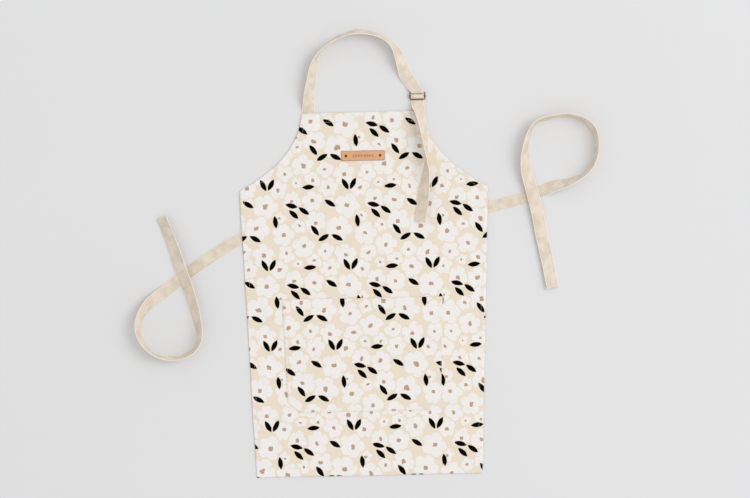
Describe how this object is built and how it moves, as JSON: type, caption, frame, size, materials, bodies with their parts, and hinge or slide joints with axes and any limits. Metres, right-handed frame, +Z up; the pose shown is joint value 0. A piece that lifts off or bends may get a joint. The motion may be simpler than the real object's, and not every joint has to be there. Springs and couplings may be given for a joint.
{
  "type": "bib apron",
  "caption": "Adult bib apron laid flat, printed canvas with a front pocket, a leather label, an adjustable neck strap with a wire buckle, and loose waist ties.",
  "frame": {"origin": "on the surface the apron lies on, under the middle of the apron and its neck strap, the waist ties not counted", "axes": "+Z up out of that surface, +Y from the bottom hem to the neck, +X to the right of someone looking down at its face"},
  "size_m": [1.1399, 1.0889, 0.0339],
  "materials": {
    "printed_canvas": "matte printed cotton canvas",
    "cotton_strap": "matte natural cotton twill",
    "tan_leather": "smooth vegetable-tanned leather",
    "aged_metal": "dark antique plating, satin"
  },
  "bodies": {
    "root": {"body_panel": "printed_canvas", "pocket_panel": "printed_canvas", "leather_label": "tan_leather", "rivet_cap_left": "aged_metal", "rivet_cap_right": "aged_metal", "rivet_base_left": "aged_metal", "rivet_base_right": "aged_metal", "neck_strap": "cotton_strap", "adjust_strap_anchor": "cotton_strap", "left_tie": "cotton_strap", "right_tie": "cotton_strap"},
    "strap_end": {"neck_strap_end": "cotton_strap"},
    "buckle": {"buckle_frame": "aged_metal"},
    "slide_bar": {"buckle_slide_bar": "aged_metal", "adjust_strap_fold": "cotton_strap"},
    "tail": {"adjust_strap_tail": "cotton_strap"}
  },
  "joints": [
    {"name": "buckle_slide", "type": "slide", "parent": "root", "child": "strap_end", "axis": [0, 1, 0], "range_m": [-0.015, 0.06], "deforming": ["neck_strap", "adjust_strap_anchor"]},
    {"name": "buckle_tilt", "type": "hinge", "parent": "strap_end", "child": "buckle", "pos_m": [0.1355, 0.3873, 0.0047], "axis": [-1, 0, 0], "range_deg": [0, 12]},
    {"name": "bar_slide", "type": "slide", "parent": "buckle", "child": "slide_bar", "axis": [0, 1, 0], "range_m": [-0.0015, 0]},
    {"name": "tail_feed", "type": "slide", "parent": "strap_end", "child": "tail", "axis": [0, 1, 0], "range_m": [-0.015, 0.06], "deforming": ["adjust_strap_tail"]}
  ],
  "couplings": [
    {"joint": "tail_feed", "follows": "buckle_slide", "ratio": 1}
  ]
}
